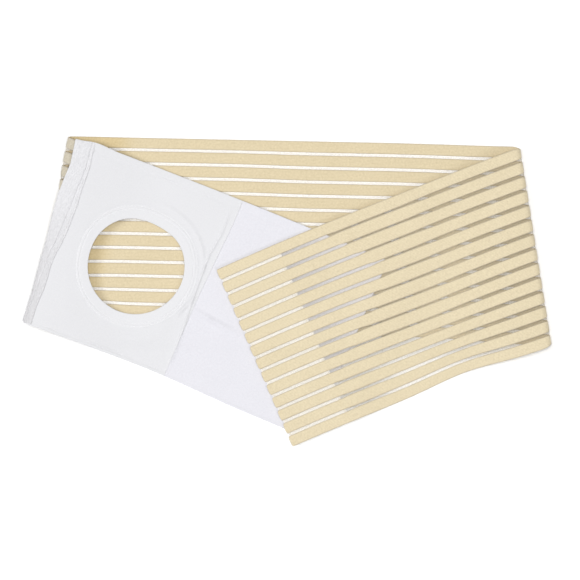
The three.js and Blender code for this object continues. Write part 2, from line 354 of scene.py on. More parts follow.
def writePoints(piece, points):
    piece.data.vertices.foreach_set("co", (points * mm).ravel())
    piece.data.update()


def flatGrid(name, rows, columns):  # a cut of cloth still flat: rows along it, columns across, in mm
    bpy.ops.object.select_all(action="DESELECT")
    bpy.ops.mesh.primitive_grid_add(x_subdivisions=len(rows) - 1, y_subdivisions=len(columns) - 1, size=1)
    piece = bpy.context.object
    piece.name = name
    points = readPoints(piece) * mm
    points[:, 0] = np.interp(points[:, 0] + 0.5, np.linspace(0, 1, len(rows)), rows)
    points[:, 1] = np.interp(points[:, 1] + 0.5, np.linspace(0, 1, len(columns)), columns)
    writePoints(piece, points)
    return piece


def editAll():
    bpy.ops.object.mode_set(mode="EDIT")
    bpy.ops.mesh.select_all(action="SELECT")


def thicken(piece, thickness, bevel=0.0, segments=2, height=0.0):
    selectOnly(piece)
    bpy.ops.object.transform_apply(location=True, rotation=True, scale=True)
    wall = piece.modifiers.new("wall", "SOLIDIFY")
    wall.thickness = thickness * mm
    wall.offset = 0
    bpy.ops.object.modifier_apply(modifier="wall")
    if bevel:
        edge = piece.modifiers.new("edge", "BEVEL")
        edge.width = bevel * mm
        edge.segments = segments
        edge.limit_method = "ANGLE"
        edge.angle_limit = math.radians(60)
        bpy.ops.object.modifier_apply(modifier="edge")
    editAll()
    bpy.ops.mesh.normals_make_consistent(inside=False)
    if height:
        bpy.ops.transform.translate(value=(0, 0, height * mm))
    bpy.ops.object.mode_set(mode="OBJECT")


def repeat(piece, count, x=0.0, y=0.0):
    row = piece.modifiers.new("row", "ARRAY")
    row.count = count
    row.use_relative_offset = False
    row.use_constant_offset = True
    row.constant_offset_displace = (x * mm, y * mm, 0)
    selectOnly(piece)
    bpy.ops.object.modifier_apply(modifier="row")


def joined(name, parts):
    bpy.ops.object.select_all(action="DESELECT")
    for part in parts:
        part.select_set(True)
    bpy.context.view_layer.objects.active = parts[0]
    if len(parts) > 1:
        bpy.ops.object.join()
    parts[0].name = name
    return parts[0]


def layOut(piece, middle, shape=None):  # from flat to where the cloth lies, with a map of the flat cut
    mesh = piece.data
    flat = readPoints(piece)
    while mesh.uv_layers:
        mesh.uv_layers.remove(mesh.uv_layers[0])
    corners = np.empty(len(mesh.loops), dtype=np.int32)
    mesh.loops.foreach_get("vertex_index", corners)
    mesh.uv_layers.new(name="flat").data.foreach_set("uv", (flat[corners][:, :2] * mm).ravel())
    a, b, height = flat[:, 0].copy(), flat[:, 1].copy(), flat[:, 2].copy()
    if shape:
        a, b, height = shape(a, b, height)
    placed = offsetFrom(middle, a, b, height)
    placed[:, 0] += shiftX
    placed[:, 1] += shiftY
    writePoints(piece, placed)
    selectOnly(piece)
    bpy.ops.object.shade_smooth_by_angle(angle=math.radians(50))


def spread(low, high, step):
    return np.linspace(low, high, max(1, round((high - low) / step)), endpoint=False)


# Steps between the rows of cloth along the band, in mm: close together at both folds and at the free end
stations = {"foldMargin": 4.0, "atFold": 0.8, "lap": 3.5, "back": 5.0, "front": 4.0, "end": 5.0, "endRows": 9}


def stationsAcrossFolds(v):
    rightFold, leftFold = rightEdge - v * tanRight, leftEdge + v * tanLeft
    rightPast, leftPast = rightFold + rightArc / cosRight, leftFold - leftArc / cosLeft
    lapTilt = math.tan(math.radians(2 * belt["leftTilt"] - belt["panelHeading"]))
    lapEnd = leftEdge - (leftArc + belt["bandLap"] / 2) / cosLeft + v * lapTilt
    margin, endStart = stations["foldMargin"], bandEnd - stations["end"]
    return np.concatenate([
        spread(min(lapEnd, leftPast - margin - 1), leftPast - margin, stations["lap"]),
        spread(leftPast - margin, leftFold + margin, stations["atFold"]),
        spread(leftFold + margin, rightFold - margin, stations["back"]),
        spread(rightFold - margin, rightPast + margin, stations["atFold"]),
        spread(rightPast + margin, endStart, stations["front"]),
        np.linspace(endStart, bandEnd, stations["endRows"]),
    ])


# Ribs of the elastic band
rib = {
    "across": 5,
    "thickness": 1.15,
    "bevel": 0.4,
    "crown": 0.28,
    "pinch": 0.45,
    "pinchReach": 4.0,
    "corner": 1.8,
    "cornerReach": 5.0,
    "tipRound": 1.7,
    "tipReach": 5.0,
    "closed": 0.72,
    "closedFrom": [(-50, 64), (-26, 86), (-13, 104), (26, 144), (77, 108)],
    "closedRise": (-4, 6),
    "closedTo": (104, 190),
    "closedFade": 20,
    "closedLow": 0.6,
    "closedUpper": (-36, -30),
    "closedEdge": (82, 86),
}


def ribCentre(index):
    return -halfBand + ribWidth / 2 + index * ribPitch


def stripesClosed(fromEnd, b):  # past the loop panel the front run lies slack, and its stripes close up
    start = readBetween(rib["closedFrom"], b)
    upper = smoothStep(b, *rib["closedUpper"])
    until = rib["closedTo"][0] + (rib["closedTo"][1] - rib["closedTo"][0]) * upper
    rise, fade = rib["closedRise"], rib["closedFade"]
    slack = plateau(fromEnd, (start + rise[0], start + rise[1]), (until - fade, until + fade))
    slack = slack * (rib["closedLow"] + (1 - rib["closedLow"]) * upper)
    return slack * (1 - smoothStep(np.abs(b), *rib["closedEdge"]))


def shapeRibs(a, b, height):
    centres = np.array([ribCentre(index) for index in range(belt["ribCount"])])
    off = b - centres[np.argmin(np.abs(b[:, None] - centres[None, :]), axis=1)]
    share = np.abs(off) / (ribWidth / 2)
    height = height * (1 - rib["crown"] * share ** 3)
    foldRight, foldLeft = foldCrests(b)
    near = softHump(a - foldRight, rib["pinchReach"]) + softHump(a - foldLeft, rib["pinchReach"])
    b = b - np.sign(off) * rib["pinch"] * near * share ** 2
    outer = np.clip((np.abs(b) - (halfBand - ribWidth / 2)) / (ribWidth / 2), 0, 1)
    b = b - np.sign(b) * rib["corner"] * softHump(a - foldRight, rib["cornerReach"]) * outer ** 3
    b = b + np.sign(off) * rib["closed"] * stripesClosed(bandEnd - a, b) * share ** 2
    over = np.clip(np.abs(off) - (ribWidth / 2 - rib["tipRound"]), 0, rib["tipRound"])
    pull = rib["tipRound"] - np.sqrt(rib["tipRound"] ** 2 - over ** 2)
    return a - pull * smoothStep(a, bandEnd - rib["tipReach"], bandEnd), b, height


def bandRibs():
    parts = []
    for index in range(belt["ribCount"]):
        centre = ribCentre(index)
        columns = np.linspace(centre - ribWidth / 2, centre + ribWidth / 2, rib["across"] + 1)
        part = flatGrid("rib", stationsAcrossFolds(centre), columns)
        thicken(part, rib["thickness"], rib["bevel"])
        parts.append(part)
    piece = joined("band_ribs", parts)
    for face in piece.data.polygons:
        face.material_index = 1 if face.normal.z < -0.1 else 0  # the band's inner face is a little lighter
    layOut(piece, bandLaid, shapeRibs)
    return piece


# Open net between the ribs: leaning cross threads, and two long threads in each stripe
net = {
    "pitch": 1.15,
    "lean": 18.0,
    "thread": 0.14,
    "seat": 0.45,
    "long": 0.13,
    "longPlace": 0.5,
    "pastFold": 2.0,
    "beforeEnd": 1.5,
    "rowsLeftOut": 3,
}


def netThreads():
    start = leftEdge - leftArc / cosLeft - net["pastFold"]
    count = int((bandEnd - net["beforeEnd"] - start) / net["pitch"])
    parts = []
    for lean in (net["lean"], -net["lean"]):
        bpy.ops.object.select_all(action="DESELECT")
        bpy.ops.mesh.primitive_cylinder_add(
            vertices=3,
            radius=net["thread"] / 2 * mm,
            depth=(belt["stripeWidth"] + 2 * net["seat"]) / math.cos(math.radians(lean)) * mm,
            location=((start + net["pitch"] * (0.5 if lean > 0 else 1.0)) * mm, 0, 0),
            rotation=(math.radians(90), 0, math.radians(lean)),
        )
        thread = bpy.context.object
        bpy.ops.object.transform_apply(location=True, rotation=True, scale=True)
        repeat(thread, count, x=net["pitch"])
        parts.append(thread)
    piece = joined("net_threads", parts)
    editAll()
    bpy.ops.transform.translate(value=(0, (ribCentre(0) + ribPitch / 2) * mm, 0))
    bpy.ops.object.mode_set(mode="OBJECT")
    repeat(piece, belt["ribCount"] - 1, y=ribPitch)
    layOut(piece, bandLaid)
    return piece


def netLines():
    parts = []
    for index in range(belt["ribCount"] - 1):
        for side in (-net["longPlace"], net["longPlace"]):
            v = ribCentre(index) + ribPitch / 2 + side
            rows = stationsAcrossFolds(v)[:-net["rowsLeftOut"]]
            part = flatGrid("line", rows, [v - net["long"] / 2, v + net["long"] / 2])
            thicken(part, net["long"])
            parts.append(part)
    piece = joined("net_lines", parts)
    layOut(piece, bandLaid)
    return piece


print("modelling the band")
ribs = bandRibs()
netCross = netThreads()
netLong = netLines()

# White front panel: the soft relief of its creases and hems, the sway of its seam and its drawn-in corner
relief = {
    "seamRidge": [(-80, 153.9), (-47, 153.6), (-14, 151.7), (10, 150.9), (30, 150.6), (53, 153.9),
                  (69, 153.5)],
    "seamHeight": 1.05,
    "seamReach": 1.25,
    "seamEnds": ((-88, -70), (60, 82)),
    "seamSway": [(-89, -2.2), (-10, 0.3), (65, 5.4), (89, 5.8)],
    "swayReach": 26.0,
    "arcRadius": 63.6,
    "arcHeight": 0.95,
    "arcReach": 1.6,
    "arcEnds": ((8, 32), (70, 100)),
    "hemPlace": 3.4,
    "upperHem": 7.4,
    "hemDepth": 0.5,
    "hemReach": 0.8,
    "hemRaise": 0.3,
    "hemStep": 1.0,
    "cornerPull": 7.0,
    "cornerLength": 30.0,
    "cornerFrom": 70.0,
}
# Soft creases, each from one place of the flat panels to another
softCreases = [
    {"start": (78, 83), "end": (110, 86), "height": 0.4, "reach": 2.5},
    {"start": (152, -12), "end": (143, -33), "height": 1.3, "reach": 2.0},
    {"start": (142, -40), "end": (120, -66), "height": 0.9, "reach": 6.0},
    {"start": (100, -68), "end": (128, -66), "height": 0.35, "reach": 3.5},
    {"start": (156, -22), "end": (201, -27), "height": 2.0, "reach": 2.1},
    {"start": (158, -80), "end": (205, -74), "height": 0.4, "reach": 3.0},
    {"start": (166, 50), "end": (186, 78), "height": 0.5, "reach": 9.0},
    {"start": (163, -60), "end": (205, -48), "height": 0.3, "reach": 9.0},
    {"start": (40, 62), "end": (60, 74), "height": 0.3, "reach": 7.0},
    {"start": (36, -50), "end": (52, -70), "height": 0.3, "reach": 8.0},
]


def fromHole(a, b):  # how far from the middle of the stoma opening, and at which angle in degrees
    x, y = a - belt["stomaFromEnd"], b + belt["stomaDrop"]
    return np.hypot(x, y), np.degrees(np.arctan2(y, x))


def creaseHeight(a, b):
    height = np.zeros_like(a)
    for crease in softCreases:
        (a0, b0), (a1, b1) = crease["start"], crease["end"]
        runA, runB = a1 - a0, b1 - b0
        share = np.clip(((a - a0) * runA + (b - b0) * runB) / (runA ** 2 + runB ** 2), 0, 1)
        off = np.hypot(a - a0 - share * runA, b - b0 - share * runB)
        fade = np.sin(math.pi * (0.12 + 0.76 * share))  # a crease sinks towards both of its ends
        height += crease["height"] * softHump(off, crease["reach"]) * fade
    ridge = softHump(a - readBetween(relief["seamRidge"], b), relief["seamReach"])
    height += relief["seamHeight"] * ridge * plateau(b, *relief["seamEnds"])
    radius, angle = fromHole(a, b)
    arc = softHump(radius - relief["arcRadius"], relief["arcReach"])
    return height + relief["arcHeight"] * arc * plateau(angle, *relief["arcEnds"])


def seamSway(a, b):  # the seam between the two panels isn't quite straight
    return readBetween(relief["seamSway"], b) * softHump(a - belt["stomaPanelLength"], relief["swayReach"])


def shapePanel(a, b, height):
    a = a + seamSway(a, b)
    atEnd = smoothStep(a, panelLength - relief["cornerLength"], panelLength)
    a = a - relief["cornerPull"] * atEnd * smoothStep(-b, relief["cornerFrom"], halfPanel)
    side = halfPanel - np.abs(b)
    place = np.where(b > 0, relief["upperHem"], relief["hemPlace"])
    hem = relief["hemRaise"] * (1 - smoothStep(side, place - relief["hemStep"], place))
    hem = hem - relief["hemDepth"] * softHump(side - place, relief["hemReach"])
    return a, b, height + creaseHeight(a, b) + np.where(height > 0, hem, 0)


def ringOfEdges(name, corners, radii):  # a flat ring of faces, made by pushing a circle outwards
    bpy.ops.object.select_all(action="DESELECT")
    bpy.ops.mesh.primitive_circle_add(vertices=corners, radius=radii[0] * mm, fill_type="NOTHING")
    piece = bpy.context.object
    piece.name = name
    editAll()
    for before, after in zip(radii[:-1], radii[1:]):
        bpy.ops.mesh.extrude_edges_move()
        bpy.ops.transform.resize(value=(after / before, after / before, 1))
    bpy.ops.mesh.select_all(action="SELECT")
    bpy.ops.transform.translate(value=(belt["stomaFromEnd"] * mm, -belt["stomaDrop"] * mm, 0))
    bpy.ops.object.mode_set(mode="OBJECT")
    return piece


stoma = {"spokes": 336, "ringRows": 8, "outRows": 32, "bevel": 0.3}


def stomaPanel():  # round rows under the ring, which turn into the panel's own outline further out
    inside, outside = belt["stomaRadius"], belt["stomaRadius"] + belt["ringWidth"]
    rows = stoma["ringRows"] + stoma["outRows"]
    radii = np.concatenate([
        np.linspace(inside, outside, stoma["ringRows"] + 1),
        outside + np.arange(1, stoma["outRows"] + 1),
    ])
    piece = ringOfEdges("stoma_cloth", stoma["spokes"], radii)
    points = readPoints(piece)
    x, y = points[:, 0] - belt["stomaFromEnd"], points[:, 1] + belt["stomaDrop"]
    angle, far = np.arctan2(y, x), np.hypot(x, y)
    share = np.clip((far - outside) / stoma["outRows"], 0, 1)
    left, right = belt["stomaFromEnd"], belt["stomaPanelLength"] - belt["stomaFromEnd"]
    low, high = halfPanel - belt["stomaDrop"], halfPanel + belt["stomaDrop"]
    reachA = np.where(x > 0, right, left) / np.maximum(np.abs(np.cos(angle)), 1e-9)
    reachB = np.where(y > 0, high, low) / np.maximum(np.abs(np.sin(angle)), 1e-9)
    rimA = np.minimum(reachA, reachB) * np.cos(angle)
    rimB = np.minimum(reachA, reachB) * np.sin(angle)
    for cornerA, cornerB in ((right, high), (-left, high), (-left, -low), (right, -low)):
        turn = np.abs(np.angle(np.exp(1j * (angle - math.atan2(cornerB, cornerA)))))
        nearest = turn < turn.min() + 1e-4
        rimA[nearest], rimB[nearest] = cornerA, cornerB
    near = np.minimum(far, outside)
    points[:, 0] = near * np.cos(angle) * (1 - share) + rimA * share + belt["stomaFromEnd"]
    points[:, 1] = near * np.sin(angle) * (1 - share) + rimB * share - belt["stomaDrop"]
    writePoints(piece, points)
    thicken(piece, belt["panelThickness"], stoma["bevel"])
    layOut(piece, panelLaid, shapePanel)
    return piece


loop = {"cell": 1.7, "bevel": 0.3, "clear": 0.02}


def loopPanel():
    start = belt["stomaPanelLength"] + loop["clear"]
    rows = np.linspace(start, panelLength, round((panelLength - start) / loop["cell"]))
    columns = np.linspace(-halfPanel, halfPanel, round(belt["panelWidth"] / loop["cell"]))
    piece = flatGrid("loop_cloth", rows, columns)
    thicken(piece, belt["panelThickness"], loop["bevel"])
    layOut(piece, panelLaid, shapePanel)
    return piece


ringCloth = {
    "around": 220,
    "rows": 28,
    "thickness": 0.65,
    "thinFrom": 0.75,
    "thinEdge": 0.5,
    "inset": 0.4,
    "clear": 0.02,
    "stitches": (53.8, 56.5),
    "stitchTops": (1.0, 0.85),
    "stitchDepth": 0.28,
    "stitchReach": 0.65,
}


def shapeRing(a, b, height):
    radius = fromHole(a, b)[0]
    share = (radius - belt["stomaRadius"]) / belt["ringWidth"]
    base = belt["panelThickness"] / 2 + ringCloth["clear"]
    thinned = (1 - ringCloth["thinEdge"]) * smoothStep(share, ringCloth["thinFrom"], 1.0)
    top = ringCloth["thickness"] * (1 - thinned)
    for place in ringCloth["stitches"]:
        top = top - ringCloth["stitchDepth"] * softHump(radius - place, ringCloth["stitchReach"])
    return a, b, np.where(height > 0, base + top, base) + creaseHeight(a, b)


def stomaRing():
    inside, outside = belt["stomaRadius"] + ringCloth["inset"], belt["stomaRadius"] + belt["ringWidth"]
    radii = np.linspace(inside, outside, ringCloth["rows"] + 1)
    piece = ringOfEdges("ring_cloth", ringCloth["around"], radii)
    thicken(piece, ringCloth["thickness"])
    layOut(piece, panelLaid, shapeRing)
    return piece


tape = {
    "cell": 0.45,
    "down": 1.5,
    "thickness": 1.1,
    "inset": 0.8,
    "clear": 0.03,
    "ridge": 0.3,
    "ridgePitch": 2.3,
    "sway": 0.45,
    "swayLength": 13.0,
    "swayLean": 0.5,
    "edgeHeight": 0.2,
    "edgeRise": 1.2,
    "edgeFall": 0.7,
    "sewnReach": 0.65,
    "leastHeight": 0.08,
    "rows": [
        {"depth": 0.3, "place": [(-89, 1.4), (89, 1.4)]},
        {"depth": 0.8, "place": [(-89, 8.5), (-40, 7.5), (13, 5.5), (41, 4.1), (77, 2.6), (89, 2.6)]},
    ],
    "border": [(-89, 2.6), (-80, 1.4), (-70, -0.2), (-57, -0.6), (-43, -1.6), (-32, -3.2), (-20, -3.0),
               (-8, -1.2), (7, 0.6), (32, 1.8), (46, 0.6), (77, -0.6), (89, -0.6)],
}


def rowPlace(row, b):  # where a row of stitches runs, measured from the panel's end
    return belt["tapeWidth"] - readBetween(row["place"], b)


def borderShift(a, b):  # the tape's border on the panel wanders, its other one stays
    return readBetween(tape["border"], b) * a / belt["tapeWidth"]


def shapeTape(a, b, height):
    base = belt["panelThickness"] / 2 + tape["clear"]
    sway = tape["sway"] * np.sin(2 * math.pi * b / tape["swayLength"] + a * tape["swayLean"])
    ridges = tape["ridge"] * (0.5 + 0.5 * np.cos(2 * math.pi * (a / tape["ridgePitch"] + sway)))
    edge = plateau(a, (0, tape["edgeRise"]), (belt["tapeWidth"] - tape["edgeFall"], belt["tapeWidth"]))
    sewn = sum(row["depth"] * softHump(a - rowPlace(row, b), tape["sewnReach"]) for row in tape["rows"])
    full = tape["thickness"] * (tape["edgeHeight"] + (1 - tape["edgeHeight"]) * edge)
    top = np.maximum(full - (ridges + sewn) * edge, tape["leastHeight"])
    return a + borderShift(a, b), b, np.where(height > 0, base + top, base)


def joiningTape():
    rows = np.linspace(0, belt["tapeWidth"], round(belt["tapeWidth"] / tape["cell"]))
    side = halfPanel - tape["inset"]
    piece = flatGrid("joining_cloth", rows, np.linspace(-side, side, round(2 * side / tape["down"])))
    thicken(piece, tape["thickness"])
    layOut(piece, panelLaid, shapeTape)
    return piece


hook = {"cell": 3.0, "rows": 24, "inset": 1.5, "bevel": 0.2, "clear": 0.1}


def hookTape():
    rows = np.linspace(bandEnd - belt["hookLength"], bandEnd - hook["inset"], hook["rows"])
    side = halfBand - hook["inset"]
    piece = flatGrid("hook_patch", rows, np.linspace(-side, side, round(2 * side / hook["cell"])))
    height = halfRib + hook["clear"] + belt["hookThickness"] / 2
    thicken(piece, belt["hookThickness"], hook["bevel"], segments=1, height=height)
    layOut(piece, bandLaid)
    return piece


print("modelling the panels")
stomaCloth = stomaPanel()
loopCloth = loopPanel()
ringPiece = stomaRing()
tapePiece = joiningTape()
hookPiece = hookTape()

# Sewing thread: one stitch, repeated in a straight row, then led along its seam
sewing = {"length": 2.3, "space": 0.9, "thickness": 0.34, "sink": 0.06}
hookSewing = {"length": 1.9, "space": 0.7, "thickness": 0.3, "sink": 0.05}
seams = {"fromSide": 2.5, "places": (-1.4, 1.6), "points": 60, "holePoints": 181, "hookIn": (3.2, 2.0)}


def stitchRow(name, path, top, thread):
    length, space, thickness = thread["length"], thread["space"], thread["thickness"]
    middle = (length / 2 * mm, 0, 0)
    path = np.array(path, dtype=float)
    walked = np.concatenate([[0], np.cumsum(np.hypot(np.diff(path[:, 0]), np.diff(path[:, 1])))])
    count = int(walked[-1] / (length + space))
    bpy.ops.object.select_all(action="DESELECT")
    bpy.ops.mesh.primitive_uv_sphere_add(segments=6, ring_count=4, radius=0.5 * mm, location=middle)
    piece = bpy.context.object
    piece.name = name
    editAll()
    bpy.ops.transform.rotate(value=math.radians(90), orient_axis="Y", center_override=middle)
    bpy.ops.transform.resize(value=(length, thickness, thickness), center_override=middle)
    bpy.ops.object.mode_set(mode="OBJECT")
    bpy.ops.object.transform_apply(location=True, rotation=True, scale=True)
    repeat(piece, count, x=length + space)
    points = readPoints(piece)
    step = 0.01
    at = np.clip(points[:, 0], step, walked[-1] - step)
    x, y = np.interp(at, walked, path[:, 0]), np.interp(at, walked, path[:, 1])
    aheadX = np.interp(at + step, walked, path[:, 0]) - np.interp(at - step, walked, path[:, 0])
    aheadY = np.interp(at + step, walked, path[:, 1]) - np.interp(at - step, walked, path[:, 1])
    run = np.hypot(aheadX, aheadY)
    across = points[:, 1].copy()
    points[:, 0] = x - aheadY / run * across
    points[:, 1] = y + aheadX / run * across
    points[:, 2] += top
    writePoints(piece, points)
    return piece


def onPanel(surface):
    return belt["panelThickness"] / 2 + surface - sewing["sink"]


def aroundHole(radius):
    angles = np.linspace(0, 2 * math.pi, seams["holePoints"])
    return [(belt["stomaFromEnd"] + radius * math.cos(angle), radius * math.sin(angle) - belt["stomaDrop"])
            for angle in angles]


def shapeStitches(a, b, height):
    a = a + seamSway(a, b)
    return a, b, height + creaseHeight(a, b)


def sewOnPanel(name, rows):
    piece = joined(name, [stitchRow(name, path, onPanel(surface), sewing) for path, surface in rows])
    layOut(piece, panelLaid, shapeStitches)
    return piece


print("sewing")
down = halfPanel - seams["fromSide"]
seamAt = belt["stomaPanelLength"]
rowPoints = np.linspace(-down, down, seams["points"])
tapeStitches = sewOnPanel("tape_stitches", [
    ([(at + borderShift(at, b), b) for at, b in zip(rowPlace(row, rowPoints), rowPoints)],
     tape["thickness"] - tape["ridge"] / 2 - row["depth"]) for row in tape["rows"]
])
ringStitches = sewOnPanel("ring_stitches", [
    (aroundHole(radius), ringCloth["thickness"] * share - ringCloth["stitchDepth"])
    for radius, share in zip(ringCloth["stitches"], ringCloth["stitchTops"])
])
seamStitches = sewOnPanel("seam_stitches", [
    ([(seamAt + place, -down), (seamAt + place, down)], 0.0) for place in seams["places"]
])
hookSide = halfBand - seams["fromSide"]
hookRows = [bandEnd - seams["hookIn"][0], bandEnd - belt["hookLength"] + seams["hookIn"][1]]
hookStitches = joined("hook_stitches", [
    stitchRow("row", [(s, -hookSide), (s, hookSide)], hookSewing["sink"] - halfRib, hookSewing)
    for s in hookRows
])
layOut(hookStitches, bandLaid)

# Finishes
print("mixing finishes")


def newGroup(name, inputs, outputs):  # an input with no value is a vector, one with four a colour
    tree = bpy.data.node_groups.new(name, "ShaderNodeTree")
    for label, value in inputs.items():
        kind = "Vector" if value is None else "Color" if isinstance(value, tuple) else "Float"
        socket = tree.interface.new_socket(name=label, in_out="INPUT", socket_type="NodeSocket" + kind)
        if value is not None:
            socket.default_value = value
    for label, kind in outputs.items():
        tree.interface.new_socket(name=label, in_out="OUTPUT", socket_type="NodeSocket" + kind)
    return tree, tree.nodes.new("NodeGroupInput"), tree.nodes.new("NodeGroupOutput")


def feed(tree, socket, value):  # a number is set on the socket, another socket is linked to it
    if isinstance(value, (int, float)):
        socket.default_value = value
    else:
        tree.links.new(value, socket)


def maths(tree, operation, *values):
    node = tree.nodes.new("ShaderNodeMath")
    node.operation = operation
    for index, value in enumerate(values):
        feed(tree, node.inputs[index], value)
    return node.outputs[0]


def noise(tree, vector, scale, detail=3.0, roughness=0.55):
    node = tree.nodes.new("ShaderNodeTexNoise")
    node.inputs["Detail"].default_value = detail
    node.inputs["Roughness"].default_value = roughness
    feed(tree, node.inputs["Scale"], scale)
    tree.links.new(vector, node.inputs["Vector"])
    return node.outputs["Fac"]


def clothWeave():  # two crossing sets of yarn rows, a little uneven
    tree, start, end = newGroup(
        "clothWeave",
        {"Map": None, "Pitch along": 1.0, "Pitch across": 1.0, "Unevenness": 0.3},
        {"Height": "Float"},
    )
    parts = tree.nodes.new("ShaderNodeSeparateXYZ")
    tree.links.new(start.outputs["Map"], parts.inputs[0])
    drift = maths(tree, "MULTIPLY", noise(tree, start.outputs["Map"], 260.0), start.outputs["Unevenness"])
    waves = []
    for side, pitch in enumerate(("Pitch along", "Pitch across")):  # the map is in metres, a pitch in mm
        turns = maths(tree, "DIVIDE", parts.outputs[side], start.outputs[pitch])
        turns = maths(tree, "MULTIPLY_ADD", turns, 1000.0, drift)
        wave = maths(tree, "SINE", maths(tree, "MULTIPLY", turns, 2 * math.pi))
        waves.append(maths(tree, "MULTIPLY_ADD", wave, 0.5, 0.5))
    picks, rows = waves
    woven = maths(tree, "MULTIPLY", rows, picks)
    crossed = maths(tree, "MULTIPLY_ADD", woven, 0.6, maths(tree, "MULTIPLY", rows, 0.4))
    tree.links.new(crossed, end.inputs["Height"])
    return tree


def clothTone():  # colour between a shade and a light tone, by broad and by fine mottling
    tree, start, end = newGroup(
        "clothTone",
        {"Place": None, "Shade": (0.5, 0.5, 0.5, 1), "Light": (0.8, 0.8, 0.8, 1), "Broad": 25.0,
         "Fine": 700.0, "Weave": 0.5},
        {"Color": "Color", "Grain": "Float"},
    )
    broad = noise(tree, start.outputs["Place"], start.outputs["Broad"])
    fine = noise(tree, start.outputs["Place"], start.outputs["Fine"], 4.0, 0.7)
    fine = maths(tree, "MULTIPLY_ADD", fine, 2.6, -0.8)
    share = maths(tree, "ADD", maths(tree, "MULTIPLY", broad, 0.2), maths(tree, "MULTIPLY", fine, 0.5))
    share = maths(tree, "ADD", share, maths(tree, "MULTIPLY", start.outputs["Weave"], 0.35))
    mix = tree.nodes.new("ShaderNodeMix")
    mix.data_type = "RGBA"
    tree.links.new(share, mix.inputs["Factor"])
    tree.links.new(start.outputs["Shade"], mix.inputs["A"])
    tree.links.new(start.outputs["Light"], mix.inputs["B"])
    tree.links.new(mix.outputs["Result"], end.inputs["Color"])
    tree.links.new(fine, end.inputs["Grain"])
    return tree


def ribPlace():  # masks of painted shade along both edges of a rib, and on the cloth near the left fold
    tree, start, end = newGroup(
        "ribPlace",
        {"Map": None, "First rib": 0.0, "Pitch": 1.0, "Half width": 0.5, "Fold": 0.0, "Lean": 0.0,
         "Far": 12.0, "Near": -2.0},
        {"Painted rim shade": "Float", "Painted shade by fold": "Float"},
    )
    parts = tree.nodes.new("ShaderNodeSeparateXYZ")
    tree.links.new(start.outputs["Map"], parts.inputs[0])
    along, across = (maths(tree, "MULTIPLY", parts.outputs[index], 1000.0) for index in (0, 1))
    steps = maths(tree, "SUBTRACT", across, start.outputs["First rib"])
    steps = maths(tree, "DIVIDE", steps, start.outputs["Pitch"])
    off = maths(tree, "SUBTRACT", steps, maths(tree, "ROUND", steps))
    off = maths(tree, "MULTIPLY", maths(tree, "ABSOLUTE", off), start.outputs["Pitch"])
    # Painted shade: a dark strip 1.1 mm wide along each edge of a rib
    rim = maths(tree, "SUBTRACT", off, maths(tree, "SUBTRACT", start.outputs["Half width"], 1.1))
    tree.links.new(maths(tree, "SMOOTH_MIN", maths(tree, "MAXIMUM", rim, 0.0), 1.0, 0.1), end.inputs["Painted rim shade"])
    # Painted shade: this mask rises from Far to Near mm in from the left fold
    fold = maths(tree, "SUBTRACT", along, maths(tree, "MULTIPLY", across, start.outputs["Lean"]))
    reach = tree.nodes.new("ShaderNodeMapRange")
    reach.interpolation_type = "SMOOTHSTEP"
    tree.links.new(maths(tree, "SUBTRACT", fold, start.outputs["Fold"]), reach.inputs["Value"])
    tree.links.new(start.outputs["Far"], reach.inputs["From Min"])
    tree.links.new(start.outputs["Near"], reach.inputs["From Max"])
    tree.links.new(reach.outputs["Result"], end.inputs["Painted shade by fold"])
    return tree


weaveGroup = clothWeave()
toneGroup = clothTone()
placeGroup = ribPlace()


def setInputs(node, values):
    for label, value in values.items():
        node.inputs[label].default_value = value


def tinted(tree, colour, mask, tint):  # the colour times a tint, where the mask is 1
    mix = tree.nodes.new("ShaderNodeMix")
    mix.data_type = "RGBA"
    mix.blend_type = "MULTIPLY"
    tree.links.new(mask, mix.inputs["Factor"])
    tree.links.new(colour, mix.inputs["A"])
    mix.inputs["B"].default_value = (*tint, 1)
    return mix.outputs["Result"]


clothShine = {"Sheen Roughness": 0.5, "Specular IOR Level": 0.3}


